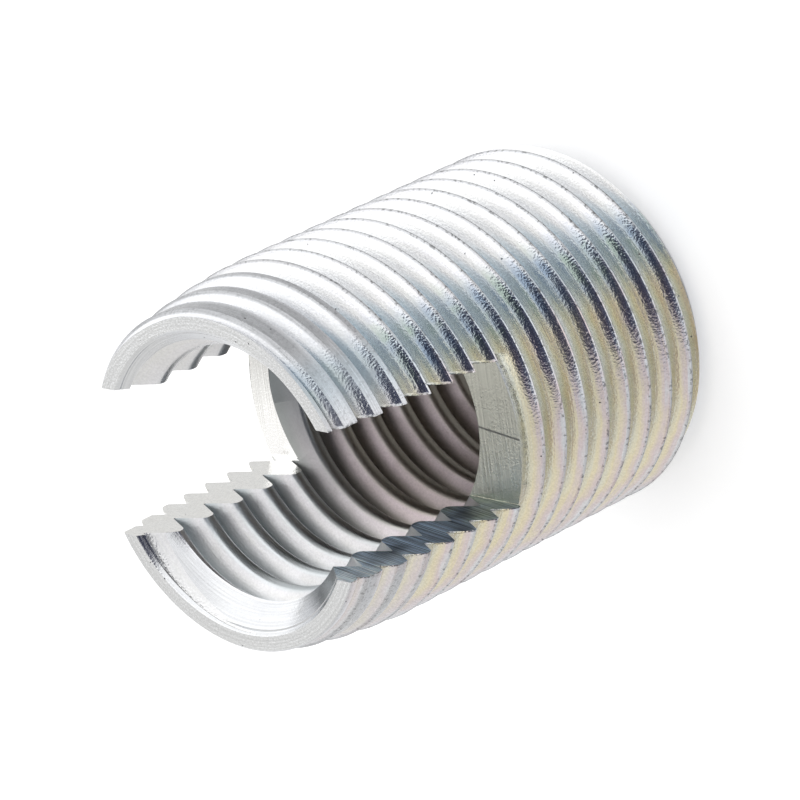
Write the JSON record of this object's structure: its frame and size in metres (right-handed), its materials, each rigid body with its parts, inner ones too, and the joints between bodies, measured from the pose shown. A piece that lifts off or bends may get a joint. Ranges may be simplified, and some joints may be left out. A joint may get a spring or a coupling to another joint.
{
  "type": "threaded insert",
  "caption": "Self-tapping threaded insert: a round steel bush threaded outside and inside, with a slot across its tapered cutting end.",
  "frame": {"origin": "centre of the flat, unslotted end, on which the insert stands", "axes": "+Z along the insert's axis from the flat end to the slotted cutting end; the slot runs across the insert along X, and the two prongs stand on the +Y and -Y sides"},
  "size_m": [0.018, 0.018, 0.024],
  "materials": {
    "plated_steel": "bright zinc plating with a thin yellowish, slightly iridescent passivation"
  },
  "bodies": {
    "root": {"insert_body": "plated_steel"}
  },
  "joints": []
}
